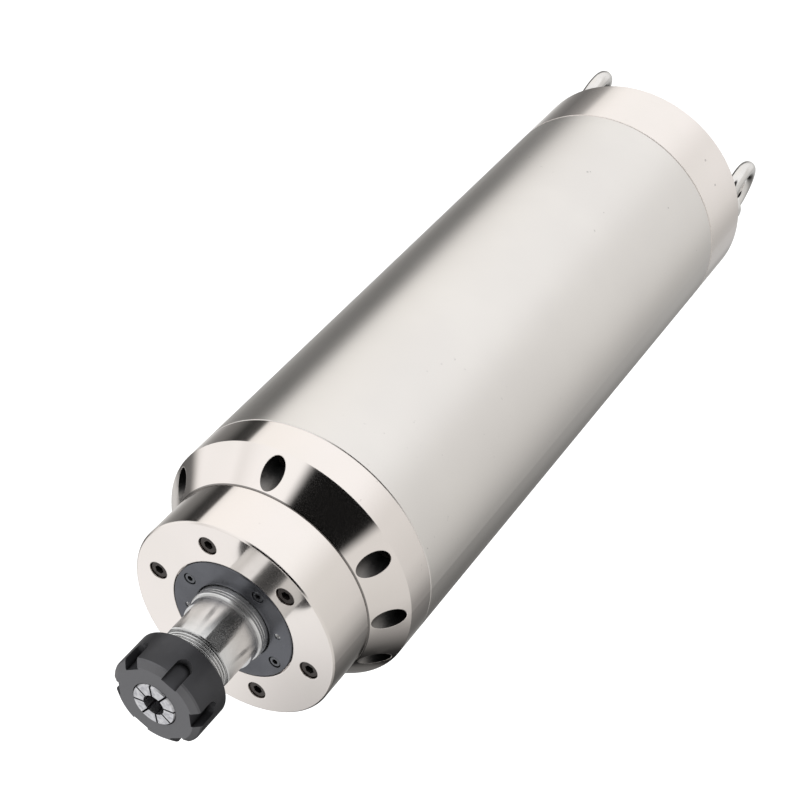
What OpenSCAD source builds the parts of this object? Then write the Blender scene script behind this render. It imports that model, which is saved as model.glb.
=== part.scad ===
// Water-cooled motor spindle: a cylindrical motor with a collet nose.
// The shaft lies along Y with the nose towards -Y. The origin is on the axis, midway along the body tube.
// Stations are distances along the axis from the front face of the nose flange, growing to the rear.

/* [Body] */
// Diameter of the body tube, the housing and the rear cap
body_d = 125; // [118:1:132]
// Bore of the body tube
tube_bore_d = 100; // [98:1:102]
// Length of the body tube
body_len = 293.4; // [290:1:330]
// Chamfer on the outer edges of the body pieces
seam_chamfer = 0.35; // [0.2:0.05:0.8]

/* [Nose flange] */
// Diameter of the nose flange
flange_d = 101; // [96:1:104]
// Length of the nose flange
flange_len = 27; // [25:0.5:30]
// Chamfer on the front edge of the nose flange
flange_chamfer = 0.8; // [0.4:0.1:1.5]
// Depth that the flange's spigot reaches into the front housing
flange_spigot_len = 3; // [2:0.5:5]
// Circle of the flange screws
flange_screw_circle_d = 78; // [76:0.5:82]
// Number of flange screws
flange_screw_count = 6; // [4:1:8]
// Angle of the first flange screw
flange_screw_angle = 45; // [0:1:90]

/* [Front housing] */
// Length of the cone between the flange and the full diameter
cone_len = 15.2; // [13:0.5:20]
// Length of the polished band behind the cone
band_len = 16.2; // [14:0.5:24]
// Depth that the housing reaches into the body tube
housing_spigot_len = 20; // [18:1:28]
// Circle of the deep screw holes in the cone
housing_screw_circle_d = 112.4; // [111:0.2:114]
// Diameter of the deep screw holes
housing_counterbore_d = 10; // [9.4:0.2:11]
// Station gap between the head seats and the body tube
housing_seat_len = 9.4; // [8:0.2:11]

/* [Rear cap] */
// Length of the rear cap
cap_len = 36.2; // [34:0.5:44]
// Thickness of the rear cap's end wall
cap_wall = 14; // [12:0.5:15]
// Diameter of the wiring space in the rear cap
cap_space_d = 80; // [76:1:82]
// Depth that the cap reaches into the body tube
cap_spigot_len = 3; // [2:0.5:5]
// Number of rear cap screws
cap_screw_count = 4; // [3:1:4]
// Angle of the first rear cap screw
cap_screw_angle = 30; // [29:1:32]

/* [Labyrinth cover] */
// Diameter of the labyrinth cover
cover_d = 60; // [56:0.5:62]
// Bore of the labyrinth cover
cover_bore_d = 37.2; // [37:0.2:39]
// Thickness of the labyrinth cover
cover_thick = 5; // [4:0.2:6]
// Amount that the cover stands proud of the flange
cover_proud = 0.4; // [0.2:0.1:1]
// Gap round the labyrinth cover
cover_gap = 0.5; // [0.3:0.1:1]
// Circle of the cover screws
cover_screw_circle_d = 50; // [48:0.5:51]
// Circle of the cover's two set screws
cover_pin_circle_d = 46; // [44:0.5:48]

/* [Shaft nose] */
// Distance from the flange face to the front face of the collet nut
nut_reach = 55; // [53:0.5:60]
// Diameter of the shaft's front collar
collar_d = 36.4; // [36:0.1:36.6]
// Length of the collar in front of the flange face
collar_reach = 5.4; // [4.5:0.3:7]
// Diameter of the shaft nose
nose_d = 34.5; // [34:0.1:35]
// Width across the two spanner flats
flats_width = 32; // [31:0.5:33]
// Length of the spanner flats
flats_len = 16.2; // [14:0.5:17]
// Nominal diameter of the nut thread
nut_thread_d = 32; // [31.5:0.1:32.5]
// Pitch of the nut thread
nut_thread_pitch = 1.5; // [1:0.25:2]
// Length of the threaded stretch with its relief
nut_thread_len = 22; // [20:0.5:23]
// Angle of the spanner flats
flats_angle = 149; // [0:1:180]

/* [Collet and nut] */
// Diameter of the collet nut
nut_d = 43.6; // [42:0.2:44]
// Length of the collet nut
nut_len = 20; // [19:0.5:22]
// Width of the nut's spanner slots
nut_slot_w = 7.4; // [6:0.2:8.4]
// Depth of the nut's spanner slots
nut_slot_depth = 4.2; // [2.8:0.2:4.2]
// Length of the nut's spanner slots
nut_slot_len = 12.2; // [11:0.2:13]
// Largest diameter of the collet
collet_d = 26; // [25.5:0.1:26.3]
// Length of the collet
collet_len = 34; // [32:0.5:35]
// Half angle of the collet's long taper
collet_taper = 8; // [7:0.25:9]
// Tool shank diameter that the collet holds
collet_bore_d = 10; // [4:1:12]
// Amount that the collet stands proud of the nut
collet_proud = 0.6; // [0.5:0.1:1.5]
// Number of slits from each end of the collet
collet_slits = 8; // [6:1:8]
// Width of a collet slit
collet_slit_w = 0.9; // [0.6:0.1:1.2]

/* [Bearings] */
// Bore of a front bearing
front_bore_d = 35; // [34.6:0.1:35.4]
// Outer diameter of a front bearing
front_outer_d = 62; // [61:0.5:63]
// Width of a front bearing
front_width = 14; // [13:0.5:15]
// Number of balls in a front bearing
front_balls = 16; // [12:1:16]
// Ball diameter of a front bearing
front_ball_d = 8; // [7.4:0.1:8.2]
// Bore of a rear bearing
rear_bore_d = 30; // [29.6:0.1:30.4]
// Outer diameter of a rear bearing
rear_outer_d = 55; // [54:0.5:56]
// Width of a rear bearing
rear_width = 13; // [12:0.5:13.5]
// Number of balls in a rear bearing
rear_balls = 15; // [12:1:15]
// Ball diameter of a rear bearing
rear_ball_d = 7.4; // [6.8:0.1:7.6]
// Length of the spacers between the front bearings
front_spacer_len = 6; // [5:0.5:8]
// Length of the spacers between the rear bearings
rear_spacer_len = 3; // [2.5:0.5:4]

/* [Motor] */
// Length of the stator and rotor cores
core_len = 160; // [140:2:166]
// Outer diameter of the stator core
stator_d = 86; // [85:0.2:87]
// Diameter of the rotor core
rotor_d = 52; // [50:0.5:53]
// Air gap between rotor and stator
air_gap = 0.5; // [0.4:0.1:0.8]
// Diameter of the shaft inside the rotor
rotor_seat_d = 34; // [33:0.2:34.4]
// Number of stator slots
stator_slots = 24; // [18:6:24]
// Number of rotor bars
rotor_bars = 20; // [14:1:22]
// Length of the winding heads
winding_head = 24; // [20:1:26]

/* [Cooling] */
// Number of ring channels in the water jacket
channel_count = 9; // [7:1:9]
// Width of a water channel
channel_w = 14; // [10:0.5:15]
// Depth of a water channel
channel_depth = 4; // [3:0.25:4.25]
// Diameter of the hose spouts
spout_d = 8; // [7:0.5:10]
// Length of the hose spouts beyond their hexagons
spout_len = 16; // [12:1:22]
// Section diameter of the O-rings
o_ring_d = 2.5; // [2:0.1:2.8]

/* [Eye bolts] */
// Outer diameter of an eye
eye_outer_d = 36; // [34:1:38]
// Inner diameter of an eye
eye_inner_d = 20; // [18:1:22]
// Collar diameter of an eye bolt
eye_collar_d = 20; // [18:1:22]
// Circle of the eye bolts
eye_circle_d = 104; // [102:0.5:104.5]

/* [Hidden] */

// Clearances
slip = 0.03;
press_gap = 0.02;
ball_gap = 0.15;
taper_gap = 0.05;
nut_gap = 0.08;
screw_gap = 0.25;
wire_gap = 0.3;
cut = 1;

// Stations from the nose to the rear
cone_station = flange_len;
band_station = cone_station + cone_len;
tube_station = band_station + band_len;
cap_station = tube_station + body_len;
end_station = cap_station + cap_len;
origin_station = tube_station + body_len / 2;
spigot_station = tube_station + housing_spigot_len;
body_r = body_d / 2;
tube_bore_r = tube_bore_d / 2;
wall_circle_r = (body_r + tube_bore_r) / 2;

// Front bearing pair
front_1_station = cone_station + flange_spigot_len;
front_2_station = front_1_station + front_width + front_spacer_len;
front_stop_station = front_2_station + front_width;
front_shoulder_len = 3;
shoulder_step = 3.5;
front_shoulder_d = front_outer_d - 2 * shoulder_step;
lock_nut_gap = 1.5;
front_nut_d = front_shoulder_d - 2 * lock_nut_gap;
front_nut_len = 10;
front_nut_end = front_stop_station + front_nut_len;

// Rear bearing pair
rear_lip_len = 6;
rear_housing_end = cap_station - cap_spigot_len;
disc_count = 3;
disc_thick = 0.8;
disc_height = 1.45;
disc_slack = 0.4;
disc_in_r = rear_outer_d / 2 - 3.3;
spring_len = disc_count * disc_height;
spring_pocket = 2.5;
rear_2_station = rear_housing_end + spring_pocket - spring_len - rear_width;
rear_1_station = rear_2_station - rear_spacer_len - rear_width;
rear_housing_station = rear_1_station - rear_lip_len;
rear_stop_station = rear_2_station + rear_width;
rear_nut_d = 2 * (disc_in_r - lock_nut_gap) - disc_slack;
rear_nut_len = 8;
rear_nut_end = rear_stop_station + rear_nut_len;
bearing_cover_room = 2;
bearing_cover_d = cap_space_d - 2 * bearing_cover_room;
bearing_cover_thick = 6;
bearing_cover_end = rear_housing_end + bearing_cover_thick;
bearing_cover_circle_d = (rear_outer_d + bearing_cover_d) / 2;
bearing_cover_screws_count = 6;

// Shaft stations
nut_face_station = -nut_reach;
nut_rear_station = nut_face_station + nut_len;
collet_station = nut_face_station - collet_proud;
shaft_front_station = nut_face_station + 5.5;
thread_end_station = shaft_front_station + nut_thread_len;
thread_depth = 0.61 * nut_thread_pitch;
thread_root_r = nut_thread_d / 2 - thread_depth;
collar_groove_w = 0.5;
collar_groove_depth = 0.3;
collar_groove_pitch = 1.3;
slinger_station = 6;
slinger_len = 7;
slinger_d = 43;
slinger_groove_w = 1.4;
shoulder_d = 41;
shaft_end_station = rear_nut_end + 3;
shaft_bore_d = 17.2;
shaft_bore_end = 20;
drill_tip_len = 5;

// Collet profile
collet_face_d = 19.9;
collet_front_slope = 30;
collet_front_len = 3.1;
collet_groove_len = 2;
collet_groove_d = 21.3;
collet_land_station = collet_station + collet_front_len + 0.4 + collet_groove_len;
collet_web = 4;
collet_nose_web = 6;
collet_slit_angle = 5.6;

// Motor stations
core_middle = (spigot_station + rear_housing_station) / 2;
core_station = core_middle - core_len / 2;
core_end = core_middle + core_len / 2;
stator_bore_d = rotor_d + 2 * air_gap;
slot_mouth_w = 1.8;
slot_lip = 1.6;
slot_foot_w = 3.4;
slot_head_w = 5.2;
slot_depth = 9;
winding_in_r = stator_bore_d / 2 + 2;
winding_out_r = stator_d / 2 - 1.5;
winding_round = 2.5;
end_ring_len = 8;
bar_d = 3.8;
bar_circle_r = rotor_d / 2 - 3;
end_ring_in_r = bar_circle_r - 3.5;

// Water jacket
jacket_in_r = stator_d / 2 + press_gap;
jacket_out_r = tube_bore_r - slip;
channel_pitch = channel_w + 6;
first_channel = core_middle - channel_count * channel_pitch / 2 + 3;
last_channel_end = first_channel + (channel_count - 1) * channel_pitch + channel_w;
port_r = (jacket_in_r + jacket_out_r - o_ring_d + 0.3) / 2;
jacket_port_d = 3.2;
port_d = 6;
inlet_angle = 250;
outlet_angle = 290;
rib_w = 16;
return_slot_w = 7;
crossover_w = 9;
crossover_angle = 16;
passage_step = 0.6;
passage_depth = channel_depth - passage_step;
passage_inset = 1.5;
o_ring_groove_w = o_ring_d + 0.5;
o_ring_stations = [
    spigot_station + 6, spigot_station + 12, rear_housing_station - 12, rear_housing_station - 6
];

// Screws: thread diameter, head diameter, head height, socket width
m3 = [3, 5.5, 3, 2.5];
m4 = [4, 7, 4, 3];
m5 = [5, 8.5, 5, 4];
m6 = [6, 10, 6, 5];
flange_counterbore_d = 9;
flange_counterbore = m5[2] + 0.7;
flange_thread_len = 14;
housing_screw_angles = [for (i = [0:5]) 30 + 60 * i];
jack_screw_angles = [0, 180];
housing_thread_len = 20;
cap_counterbore_d = 11;
cap_counterbore = m6[2] + 0.8;
cap_thread_len = 18;
cover_screw_angles = [for (i = [0:3]) 56 + 90 * i];
cover_screw_len = 8;
cover_pin_angles = [6, 186];
cover_pin_d = 3;
cover_pin_len = 4;

// Connector and leads
nozzle_hex = 14;
nozzle_hex_len = 6;
nozzle_bore_d = 4.4;
nozzle_thread_d = 9.8;
nozzle_thread_len = 10;
seal_thick = 1.2;
seal_d = 15;
connector_rise = 12;
connector_flange_w = 30;
connector_flange_thick = 3.5;
connector_barrel_d = 27;
connector_barrel_len = 16.5;
connector_inner_d = 23;
connector_tail_d = 21;
connector_wall = 2;
connector_screw_pitch = 23.8;
connector_screw_len = 8;
insert_recess = 5;
pin_count = 4;
pin_circle_r = 6;
pin_d = 3.2;
pin_tail = 5;
lead_d = 2.5;
lead_hole_d = 10;
lead_hole_r = 36;
lead_hole_angle = 90;
lead_spread = 2.05;
lead_bend_r = 3;
lead_tail = 0.5;
lead_step = 4;

// Eye bolts
eye_angles = [5, 138];
eye_turns = [78, 72];
eye_rise = 2;
eye_ring_r = (eye_outer_d + eye_inner_d) / 4;
eye_bar_d = (eye_outer_d - eye_inner_d) / 2;
eye_collar_thick = 6;
eye_thread_d = 8;
eye_thread_len = 13;
eye_hole_len = 14;

// Put a piece that is drawn along stations into the part's frame
module along_shaft() {
    translate([0, -origin_station, 0]) rotate([-90, 0, 0]) children();
}

// Put a piece at an angle round the shaft and a radius from it
module around(angle, radius) {
    rotate([0, 0, -angle]) translate([radius, 0, 0]) children();
}

// Copies at the corners of a square
module four_corners(pitch) {
    for (x = [-pitch / 2, pitch / 2])
        for (y = [-pitch / 2, pitch / 2])
            translate([x, y, 0]) children();
}

// Solid of revolution from points of radius and station
module turned(points) {
    rotate_extrude($fn = 96) polygon(points);
}

// Round bar between two stations
module rod(d, from, to) {
    translate([0, 0, from]) cylinder(d = d, h = to - from, $fn = 64);
}

// Ring between two stations
module ring(outer_d, inner_d, from, to) {
    difference() {
        rod(outer_d, from, to);
        rod(inner_d, from - cut, to + cut);
    }
}

// Socket head cap screw with the head's top at station zero
module cap_screw(size, length) {
    difference() {
        union() {
            turned([
                [0, 0], [size[1] / 2 - 0.4, 0], [size[1] / 2, 0.4],
                [size[1] / 2, size[2]], [0, size[2]]
            ]);
            rod(size[0], size[2] - 0.01, size[2] + length);
        }
        translate([0, 0, -cut]) cylinder(d = size[3] / cos(30), h = cut + size[2] * 0.55, $fn = 6);
    }
}

// Slotted round nut between two stations
module lock_nut(outer_d, inner_d, from, to) {
    slot_w = 5;
    slot_deep = 2;
    difference() {
        turned([
            [inner_d / 2, from], [outer_d / 2 - 0.8, from], [outer_d / 2, from + 0.8],
            [outer_d / 2, to - 0.8], [outer_d / 2 - 0.8, to], [inner_d / 2, to]
        ]);
        for (i = [0:3])
            around(90 * i, outer_d / 2 - slot_deep) translate([0, -slot_w / 2, from - cut])
                cube([slot_deep + cut, slot_w, to - from + 2 * cut]);
    }
}

// Path of the balls round the shaft
module race(pitch_r, station, ball_d) {
    rotate_extrude($fn = 96) translate([pitch_r, station]) circle(d = ball_d + 2 * ball_gap, $fn = 48);
}

// Inner ring of an angular contact bearing, seated on the shaft
module inner_ring(bore_d, outer_d, width, ball_d, from) {
    pitch_r = (bore_d + outer_d) / 4;
    shoulder_r = pitch_r - 0.3 * ball_d;
    difference() {
        ring(2 * shoulder_r, bore_d + 2 * press_gap, from, from + width);
        race(pitch_r, from + width / 2, ball_d);
    }
}

// Outer ring of an angular contact bearing, with its front or rear shoulder relieved
module outer_ring(bore_d, outer_d, width, ball_d, from, relieve_front) {
    pitch_r = (bore_d + outer_d) / 4;
    shoulder_r = pitch_r + 0.3 * ball_d;
    relief_r = pitch_r + 0.44 * ball_d;
    relief_from = relieve_front ? from - cut : from + width / 2;
    difference() {
        ring(outer_d - 2 * press_gap, 2 * shoulder_r, from, from + width);
        race(pitch_r, from + width / 2, ball_d);
        rod(2 * relief_r, relief_from, relief_from + width / 2 + cut);
    }
}

// Balls of one bearing
module balls(bore_d, outer_d, width, ball_d, count, from) {
    for (i = [0:count - 1])
        around(360 * i / count, (bore_d + outer_d) / 4) translate([0, 0, from + width / 2])
            sphere(d = ball_d, $fn = 48);
}

// Cage of one bearing, with a round pocket for each ball
module cage(bore_d, outer_d, width, ball_d, count, from) {
    pitch_r = (bore_d + outer_d) / 4;
    side = 1.6;
    half_thick = 0.21 * ball_d;
    reach = half_thick + 0.7;
    difference() {
        ring(2 * (pitch_r + half_thick), 2 * (pitch_r - half_thick), from + side, from + width - side);
        for (i = [0:count - 1])
            around(360 * i / count, pitch_r - reach) translate([0, 0, from + width / 2]) rotate([0, 90, 0])
                cylinder(d = ball_d + 2 * ball_gap, h = 2 * reach, $fn = 48);
    }
}

// O-ring against the tube bore
module o_ring(outer_r, station) {
    rotate_extrude($fn = 96) translate([outer_r - o_ring_d / 2, station]) circle(d = o_ring_d, $fn = 32);
}

module nose_flange() {
    cavity_r = slinger_d / 2 + 1;
    cover_seat = cover_thick - cover_proud;
    cavity_end = slinger_station + slinger_len + 1;
    lip_r = shoulder_d / 2 + 0.6;
    color([0.86, 0.84, 0.8]) along_shaft() difference() {
        turned([
            [cover_d / 2 + cover_gap, 0], [flange_d / 2 - flange_chamfer, 0],
            [flange_d / 2, flange_chamfer], [flange_d / 2, flange_len - seam_chamfer],
            [flange_d / 2 - seam_chamfer, flange_len], [front_outer_d / 2 - slip, flange_len],
            [front_outer_d / 2 - slip, front_1_station], [front_outer_d / 2 - 4, front_1_station],
            [front_outer_d / 2 - 4, flange_len - 3], [lip_r, flange_len - 3],
            [lip_r, cavity_end], [cavity_r, cavity_end],
            [cavity_r, cover_seat], [cover_d / 2 + cover_gap, cover_seat]
        ]);
        for (i = [0:2])
            ring(2 * lip_r + 2.4, 2 * lip_r - 2, cavity_end + 1.8 + 3 * i, cavity_end + 3.2 + 3 * i);
        for (i = [0:flange_screw_count - 1])
            around(flange_screw_angle + 360 * i / flange_screw_count, flange_screw_circle_d / 2) {
                rod(flange_counterbore_d, -cut, flange_counterbore);
                rod(m5[0] + 2 * screw_gap, 0, flange_len + cut);
            }
        for (a = cover_screw_angles)
            around(a, cover_screw_circle_d / 2)
                rod(m3[0] + 2 * press_gap, cover_seat - cut, cover_seat + cover_screw_len);
    }
}

module flange_screws() {
    length = flange_len - flange_counterbore + flange_thread_len - 2;
    color([0.25, 0.25, 0.26]) along_shaft()
        for (i = [0:flange_screw_count - 1])
            around(flange_screw_angle + 360 * i / flange_screw_count, flange_screw_circle_d / 2)
                translate([0, 0, flange_counterbore - m5[2]]) cap_screw(m5, length);
}

module labyrinth_cover() {
    edge = 0.4;
    seat = cover_thick - cover_proud;
    head_sink = m3[2] + 0.3;
    color([0.3, 0.31, 0.33]) along_shaft() difference() {
        turned([
            [cover_bore_d / 2 + edge, -cover_proud], [cover_d / 2 - edge, -cover_proud],
            [cover_d / 2, edge - cover_proud], [cover_d / 2, seat],
            [cover_bore_d / 2, seat], [cover_bore_d / 2, edge - cover_proud]
        ]);
        for (a = cover_screw_angles)
            around(a, cover_screw_circle_d / 2) {
                rod(m3[1] + 2 * screw_gap, -cover_proud - cut, head_sink - cover_proud);
                rod(m3[0] + 2 * screw_gap, 0, seat + cut);
            }
        for (a = cover_pin_angles)
            around(a, cover_pin_circle_d / 2)
                rod(cover_pin_d + 2 * press_gap, -cover_proud - cut, seat + cut);
    }
}

module cover_screws() {
    color([0.55, 0.56, 0.58]) along_shaft()
        for (a = cover_screw_angles)
            around(a, cover_screw_circle_d / 2) translate([0, 0, 0.3 - cover_proud])
                cap_screw(m3, cover_thick - m3[2] - 0.3 + cover_screw_len - 1);
}

module cover_set_screws() {
    start = 0.5 - cover_proud;
    color([0.75, 0.76, 0.78]) along_shaft()
        for (a = cover_pin_angles)
            around(a, cover_pin_circle_d / 2) difference() {
                rod(cover_pin_d, start, start + cover_pin_len);
                translate([0, 0, start - cut]) cylinder(d = 1.5 / cos(30), h = cut + 1.5, $fn = 6);
            }
}

module front_housing() {
    bore_r = front_outer_d / 2;
    pocket_d = 74;
    seat_station = tube_station - housing_seat_len;
    pocket_station = front_stop_station + front_shoulder_len;
    color([0.86, 0.84, 0.8]) along_shaft() difference() {
        turned([
            [bore_r, cone_station], [flange_d / 2, cone_station],
            [body_r, band_station], [body_r, tube_station - seam_chamfer],
            [body_r - seam_chamfer, tube_station], [tube_bore_r - slip, tube_station],
            [tube_bore_r - slip, spigot_station - 1], [tube_bore_r - 1, spigot_station],
            [pocket_d / 2, spigot_station], [pocket_d / 2, pocket_station],
            [front_shoulder_d / 2, pocket_station], [front_shoulder_d / 2, front_stop_station],
            [bore_r, front_stop_station]
        ]);
        for (a = concat(housing_screw_angles, jack_screw_angles))
            around(a, housing_screw_circle_d / 2)
                rod(housing_counterbore_d, cone_station - cut, seat_station);
        for (a = housing_screw_angles)
            around(a, housing_screw_circle_d / 2)
                rod(m5[0] + 2 * screw_gap, seat_station - cut, tube_station + cut);
        for (a = jack_screw_angles)
            around(a, housing_screw_circle_d / 2)
                rod(m6[0] + 2 * press_gap, seat_station - cut, tube_station + cut);
        for (i = [0:flange_screw_count - 1])
            around(flange_screw_angle + 360 * i / flange_screw_count, flange_screw_circle_d / 2)
                rod(m5[0] + 2 * press_gap, cone_station - cut, cone_station + flange_thread_len);
    }
}

module housing_screws() {
    color([0.2, 0.2, 0.21]) along_shaft()
        for (a = housing_screw_angles)
            around(a, housing_screw_circle_d / 2)
                translate([0, 0, tube_station - housing_seat_len - m5[2]])
                    cap_screw(m5, housing_seat_len + housing_thread_len - 2);
}

module jack_screws() {
    start = tube_station - housing_seat_len + 0.6;
    color([0.2, 0.2, 0.21]) along_shaft()
        for (a = jack_screw_angles)
            around(a, housing_screw_circle_d / 2) difference() {
                rod(m6[0], start, tube_station);
                translate([0, 0, start - cut]) cylinder(d = 3 / cos(30), h = cut + 3.5, $fn = 6);
            }
}

module body_tube() {
    color([0.74, 0.74, 0.73]) along_shaft() difference() {
        turned([
            [tube_bore_r, tube_station], [body_r - seam_chamfer, tube_station],
            [body_r, tube_station + seam_chamfer], [body_r, cap_station - seam_chamfer],
            [body_r - seam_chamfer, cap_station], [tube_bore_r, cap_station]
        ]);
        for (a = housing_screw_angles)
            around(a, housing_screw_circle_d / 2)
                rod(m5[0] + 2 * press_gap, tube_station - cut, tube_station + housing_thread_len);
        for (i = [0:cap_screw_count - 1])
            around(cap_screw_angle + 360 * i / cap_screw_count, wall_circle_r)
                rod(m6[0] + 2 * press_gap, cap_station - cap_thread_len, cap_station + cut);
    }
}

// One ring channel of the water jacket, broken by the rib that holds the return slot
module ring_channel(station) {
    difference() {
        ring(2 * jacket_out_r + 2 * cut, 2 * (jacket_out_r - channel_depth), station, station + channel_w);
        around(outlet_angle, 0) translate([0, -rib_w / 2, station - cut])
            cube([jacket_out_r + 2 * cut, rib_w, channel_w + 2 * cut]);
    }
}

module water_jacket() {
    floor_r = jacket_out_r - passage_depth;
    land = channel_pitch - channel_w;
    color([0.62, 0.64, 0.66]) along_shaft() difference() {
        ring(2 * jacket_out_r, 2 * jacket_in_r, spigot_station, rear_housing_station);
        for (i = [0:channel_count - 1]) ring_channel(first_channel + i * channel_pitch);
        for (i = [0:channel_count - 2])
            around(outlet_angle + (i % 2 == 0 ? -1 : 1) * crossover_angle, floor_r)
                translate([0, -crossover_w / 2, first_channel + channel_w - cut + i * channel_pitch])
                    cube([passage_depth + cut, crossover_w, land + 2 * cut]);
        around(outlet_angle, floor_r) translate([0, -return_slot_w / 2, first_channel + passage_inset])
            cube([passage_depth + cut, return_slot_w, last_channel_end - first_channel - passage_inset]);
        around(outlet_angle, floor_r) translate([0, -rib_w / 2 - cut, first_channel + 2 * passage_inset])
            cube([passage_depth + cut, rib_w / 2 + cut, channel_w - 4 * passage_inset]);
        for (a = [inlet_angle, outlet_angle])
            around(a, port_r) rod(jacket_port_d, last_channel_end - cut, rear_housing_station + cut);
        for (s = o_ring_stations)
            ring(2 * jacket_out_r + 2 * cut, 2 * (tube_bore_r - o_ring_d - press_gap),
                s - o_ring_groove_w / 2, s + o_ring_groove_w / 2);
    }
}

module jacket_o_rings() {
    color([0.08, 0.08, 0.08]) along_shaft()
        for (s = o_ring_stations) o_ring(tube_bore_r - press_gap / 2, s);
}

// Outline of one stator slot or of the winding in it, set in by a gap
module slot_shape(gap) {
    foot_r = stator_bore_d / 2 + slot_lip;
    polygon([
        [foot_r + gap, -slot_foot_w / 2 + gap], [foot_r + slot_depth - gap, -slot_head_w / 2 + gap],
        [foot_r + slot_depth - gap, slot_head_w / 2 - gap], [foot_r + gap, slot_foot_w / 2 - gap]
    ]);
}

module stator_core() {
    color([0.45, 0.46, 0.48]) along_shaft() translate([0, 0, core_station]) linear_extrude(core_len)
        difference() {
            circle(d = stator_d, $fn = 96);
            circle(d = stator_bore_d, $fn = 96);
            for (i = [0:stator_slots - 1]) rotate(360 * i / stator_slots) {
                slot_shape(0);
                translate([stator_bore_d / 2 - cut, -slot_mouth_w / 2])
                    square([slot_lip + 2 * cut, slot_mouth_w]);
            }
        }
}

// Section of a winding head with round corners
module head_section(from) {
    r = winding_round;
    translate([winding_in_r + r, from]) square([winding_out_r - winding_in_r - 2 * r, winding_head]);
    translate([winding_in_r, from + r]) square([winding_out_r - winding_in_r, winding_head - 2 * r]);
    for (x = [winding_in_r + r, winding_out_r - r])
        for (y = [from + r, from + winding_head - r])
            translate([x, y]) circle(r = r, $fn = 32);
}

module stator_windings() {
    color([0.72, 0.38, 0.18]) along_shaft() {
        rotate_extrude($fn = 96) head_section(core_station - winding_head);
        rotate_extrude($fn = 96) head_section(core_end);
        for (i = [0:stator_slots - 1])
            rotate([0, 0, 360 * i / stator_slots]) translate([0, 0, core_station - cut])
                linear_extrude(core_len + 2 * cut) slot_shape(wire_gap);
    }
}

module front_outer_rings() {
    color([0.8, 0.81, 0.83]) along_shaft() {
        outer_ring(front_bore_d, front_outer_d, front_width, front_ball_d, front_1_station, true);
        outer_ring(front_bore_d, front_outer_d, front_width, front_ball_d, front_2_station, false);
    }
}

module front_outer_spacer() {
    outer_d = front_outer_d - 2 * press_gap;
    color([0.6, 0.61, 0.63]) along_shaft()
        ring(outer_d, front_outer_d - 8, front_1_station + front_width, front_2_station);
}

module rear_housing() {
    bore_r = rear_outer_d / 2;
    color([0.62, 0.64, 0.66]) along_shaft() difference() {
        turned([
            [bore_r - shoulder_step, rear_housing_station], [tube_bore_r - 1, rear_housing_station],
            [tube_bore_r - slip, rear_housing_station + 1], [tube_bore_r - slip, rear_housing_end],
            [bore_r, rear_housing_end], [bore_r, rear_1_station], [bore_r - shoulder_step, rear_1_station]
        ]);
        around(lead_hole_angle, lead_hole_r)
            rod(lead_hole_d, rear_housing_station - cut, rear_housing_end + cut);
        for (a = [inlet_angle, outlet_angle])
            around(a, port_r) rod(port_d, rear_housing_station - cut, rear_housing_end + cut);
        for (i = [0:bearing_cover_screws_count - 1])
            around(360 * i / bearing_cover_screws_count, bearing_cover_circle_d / 2)
                rod(m4[0] + 2 * press_gap, rear_housing_end - 10, rear_housing_end + cut);
    }
}

module rear_outer_rings() {
    color([0.8, 0.81, 0.83]) along_shaft() {
        outer_ring(rear_bore_d, rear_outer_d, rear_width, rear_ball_d, rear_1_station, true);
        outer_ring(rear_bore_d, rear_outer_d, rear_width, rear_ball_d, rear_2_station, false);
    }
}

module rear_outer_spacer() {
    outer_d = rear_outer_d - 2 * press_gap;
    color([0.6, 0.61, 0.63]) along_shaft()
        ring(outer_d, rear_outer_d - 8, rear_1_station + rear_width, rear_2_station);
}

// One disc spring, cupped to the front or to the rear
module disc_spring(station, cupped_front) {
    out_r = rear_outer_d / 2 - 0.2;
    rise = disc_height - disc_thick;
    in_z = station + (cupped_front ? 0 : rise);
    out_z = station + (cupped_front ? rise : 0);
    turned([
        [disc_in_r, in_z], [out_r, out_z], [out_r, out_z + disc_thick], [disc_in_r, in_z + disc_thick]
    ]);
}

module preload_springs() {
    color([0.5, 0.5, 0.52]) along_shaft()
        for (i = [0:disc_count - 1]) disc_spring(rear_stop_station + i * disc_height, i % 2 == 0);
}

module rear_bearing_cover() {
    color([0.7, 0.71, 0.72]) along_shaft() difference() {
        ring(bearing_cover_d, rear_nut_d + 2, rear_housing_end, bearing_cover_end);
        rod(rear_outer_d, rear_housing_end - cut, rear_housing_end + spring_pocket);
        around(lead_hole_angle, lead_hole_r)
            rod(lead_hole_d + 2, rear_housing_end - cut, bearing_cover_end + cut);
        for (i = [0:bearing_cover_screws_count - 1])
            around(360 * i / bearing_cover_screws_count, bearing_cover_circle_d / 2)
                rod(m4[0] + 2 * screw_gap, rear_housing_end - cut, bearing_cover_end + cut);
    }
}

module bearing_cover_screws() {
    color([0.25, 0.25, 0.26]) along_shaft()
        for (i = [0:bearing_cover_screws_count - 1])
            around(360 * i / bearing_cover_screws_count, bearing_cover_circle_d / 2)
                translate([0, 0, bearing_cover_end + m4[2]]) mirror([0, 0, 1])
                    cap_screw(m4, bearing_cover_thick + 8);
}

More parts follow.
